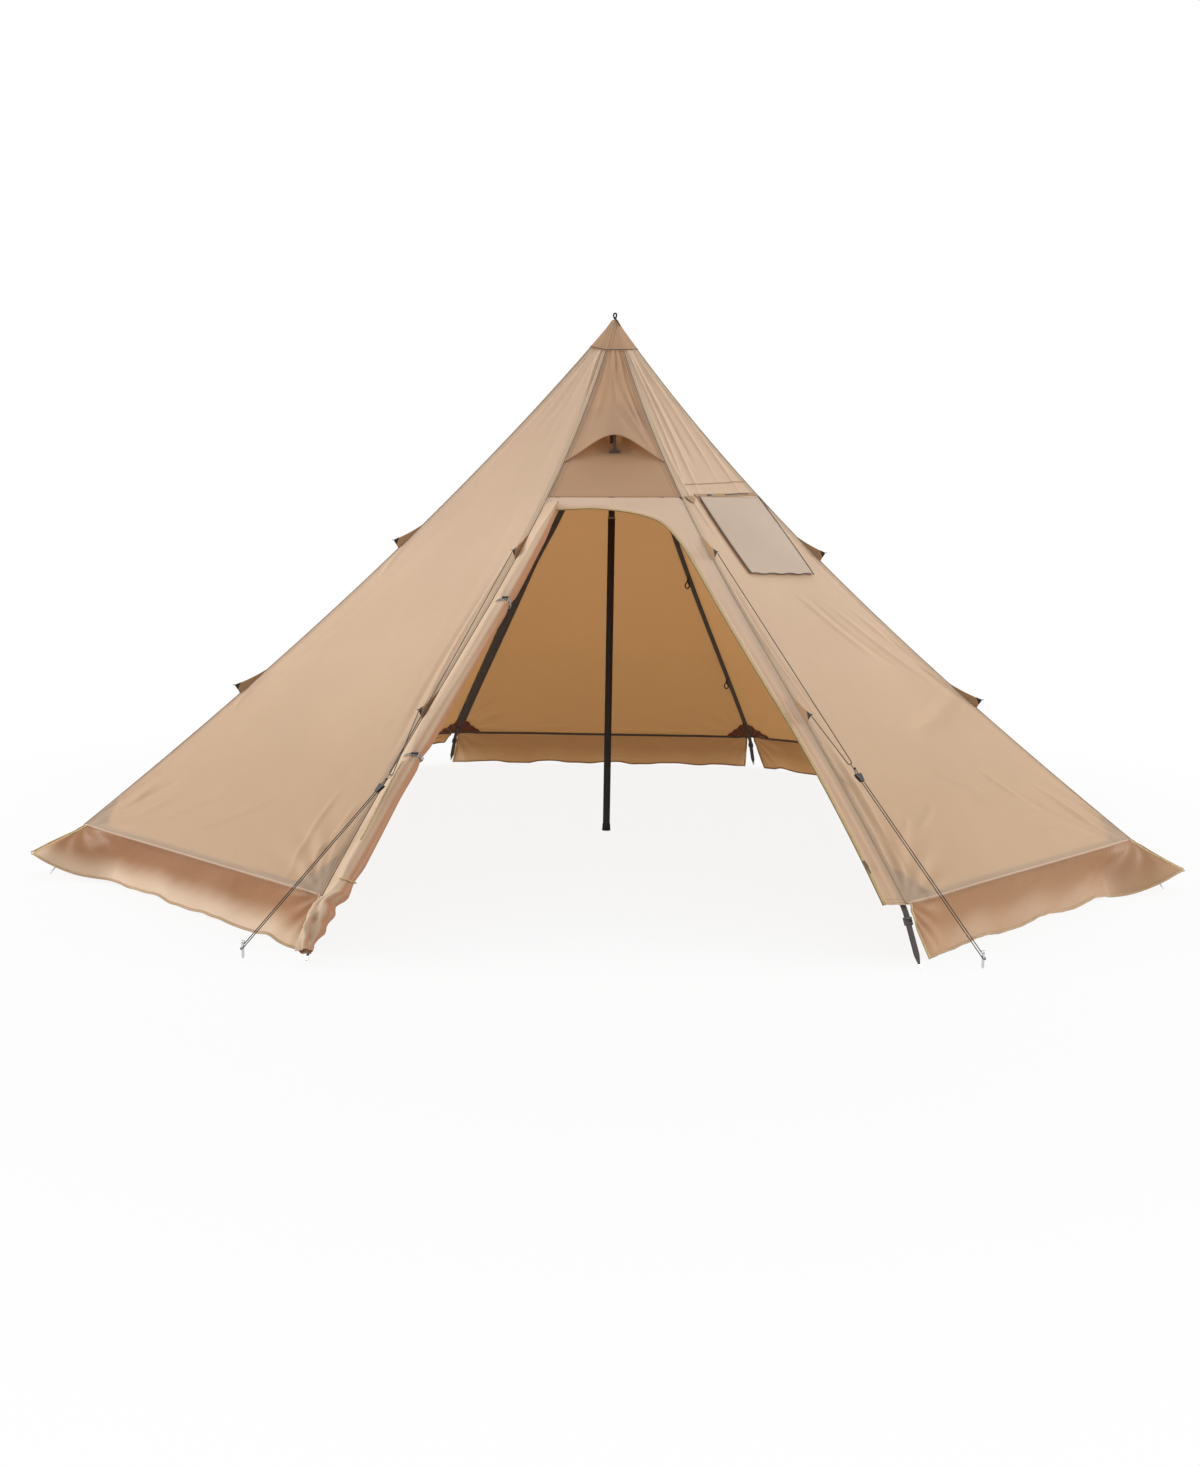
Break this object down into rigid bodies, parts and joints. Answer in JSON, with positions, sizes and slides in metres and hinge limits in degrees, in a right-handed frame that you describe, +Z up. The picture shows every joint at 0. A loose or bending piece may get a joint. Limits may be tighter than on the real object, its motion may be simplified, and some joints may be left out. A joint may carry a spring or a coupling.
{
  "type": "hot tent",
  "caption": "Octagonal pyramid hot tent on a telescopic centre pole, with hooded peak vent, stove jack flap, side-rolled arched door, ground skirts, corner straps and guylines.",
  "frame": {"origin": "centre of the pole foot's underside, on the ground", "axes": "+Z up along the pole, -Y out through the door, +X to the right of a viewer who faces the door"},
  "size_m": [4.2594, 3.9509, 2.224],
  "materials": {
    "tent_cloth": "matte coated polyester-cotton",
    "skirt_cloth": "matte",
    "mesh_cloth": "fine mesh",
    "heat_cloth": "heatproof glass-fibre cloth",
    "flap_cloth": "smooth coated cloth",
    "zip_tape": "woven tape with coil zip",
    "webbing": "woven webbing",
    "elastic": "braided elastic",
    "black_plastic": "moulded",
    "cord": "braided cord",
    "pole_metal": "dark coated aluminium tube",
    "grey_metal": "plain",
    "rubber": "matte"
  },
  "bodies": {
    "tent": {"panel_front_right": "tent_cloth", "panel_right": "tent_cloth", "panel_back_right": "tent_cloth", "panel_back": "tent_cloth", "panel_back_left": "tent_cloth", "panel_left": "tent_cloth", "panel_front_left": "tent_cloth", "peak_cap": "tent_cloth", "vent_hood": "tent_cloth", "vent_panel": "tent_cloth", "door_frame_panel": "tent_cloth", "door_roll": "tent_cloth", "skirt_front_right": "skirt_cloth", "skirt_right": "skirt_cloth", "skirt_back_right": "skirt_cloth", "skirt_back": "skirt_cloth", "skirt_back_left": "skirt_cloth", "skirt_left": "skirt_cloth", "skirt_front_left": "skirt_cloth", "vent_screen": "mesh_cloth", "door_zip_tape": "zip_tape", "door_tie_upper": "elastic", "door_tie_lower": "elastic", "stove_jack": "heat_cloth", "peak_loop": "webbing", "ridge_webbing_front_left": "webbing", "ridge_webbing_front_right": "webbing", "ridge_webbing_right_front": "webbing", "ridge_webbing_right_back": "webbing", "ridge_webbing_back_right": "webbing", "ridge_webbing_back_left": "webbing", "ridge_webbing_left_back": "webbing", "ridge_webbing_left_front": "webbing", "pole_foot": "rubber", "pole_lower": "pole_metal", "pole_lock_ring": "grey_metal", "guyline_bridle_left": "cord", "guyline_loop_left": "cord", "guyline_ring_left": "grey_metal", "guy_peg_left": "grey_metal", "guyline_bridle_right": "cord", "guyline_loop_right": "cord", "guyline_ring_right": "grey_metal", "guy_peg_right": "grey_metal"},
    "vent_prop": {"vent_prop": "black_plastic"},
    "stove_flap": {"stove_flap": "flap_cloth"},
    "pole_upper": {"pole_upper": "pole_metal", "pole_tip": "rubber"},
    "door_zip_slider": {"door_zip_slider": "grey_metal"},
    "corner_buckle_front_left": {"corner_buckle_front_left": "black_plastic"},
    "corner_buckle_front_right": {"corner_buckle_front_right": "black_plastic"},
    "corner_buckle_right_front": {"corner_buckle_right_front": "black_plastic"},
    "corner_buckle_right_back": {"corner_buckle_right_back": "black_plastic"},
    "corner_buckle_back_right": {"corner_buckle_back_right": "black_plastic"},
    "corner_buckle_back_left": {"corner_buckle_back_left": "black_plastic"},
    "corner_buckle_left_back": {"corner_buckle_left_back": "black_plastic"},
    "corner_buckle_left_front": {"corner_buckle_left_front": "black_plastic"},
    "guyline_runner_left": {"guyline_runner_left": "black_plastic"},
    "guyline_runner_right": {"guyline_runner_right": "black_plastic"}
  },
  "joints": [
    {"name": "strap_front_left", "type": "slide", "parent": "tent", "child": "corner_buckle_front_left", "axis": [-0.1966, -0.4237, -0.8842], "range_m": [0, 0.08]},
    {"name": "strap_front_right", "type": "slide", "parent": "tent", "child": "corner_buckle_front_right", "axis": [0.1967, -0.4238, -0.8841], "range_m": [0, 0.08]},
    {"name": "strap_right_front", "type": "slide", "parent": "tent", "child": "corner_buckle_right_front", "axis": [0.5752, -0.264, -0.7742], "range_m": [0, 0.08]},
    {"name": "strap_right_back", "type": "slide", "parent": "tent", "child": "corner_buckle_right_back", "axis": [0.5755, 0.2641, -0.774], "range_m": [0, 0.08]},
    {"name": "strap_back_right", "type": "slide", "parent": "tent", "child": "corner_buckle_back_right", "axis": [0.1965, 0.4235, -0.8843], "range_m": [0, 0.08]},
    {"name": "strap_back_left", "type": "slide", "parent": "tent", "child": "corner_buckle_back_left", "axis": [-0.1965, 0.4235, -0.8843], "range_m": [0, 0.08]},
    {"name": "strap_left_back", "type": "slide", "parent": "tent", "child": "corner_buckle_left_back", "axis": [-0.5756, 0.2641, -0.7739], "range_m": [0, 0.08]},
    {"name": "strap_left_front", "type": "slide", "parent": "tent", "child": "corner_buckle_left_front", "axis": [-0.5754, -0.264, -0.7741], "range_m": [0, 0.08]},
    {"name": "vent_prop_hinge", "type": "hinge", "parent": "tent", "child": "vent_prop", "pos_m": [-0.00021, -0.41764, 1.68685], "axis": [1, 0, 0], "range_deg": [-55, 0]},
    {"name": "stove_flap_lift", "type": "hinge", "parent": "tent", "child": "stove_flap", "pos_m": [0.33411, -0.50364, 1.43822], "axis": [-0.7705, -0.6366, -0.0325], "range_deg": [0, 140]},
    {"name": "pole_telescope", "type": "slide", "parent": "tent", "child": "pole_upper", "axis": [0, 0, -1], "range_m": [0, 0.6]},
    {"name": "door_zip", "type": "slide", "parent": "tent", "child": "door_zip_slider", "axis": [-0.2944, 0.6789, 0.6727], "range_m": [0, 0.09]},
    {"name": "runner_left", "type": "slide", "parent": "tent", "child": "guyline_runner_left", "axis": [-0.5842, -0.4106, -0.7001], "range_m": [0, 0.3]},
    {"name": "runner_right", "type": "slide", "parent": "tent", "child": "guyline_runner_right", "axis": [0.4548, -0.5551, -0.6964], "range_m": [0, 0.3]}
  ]
}
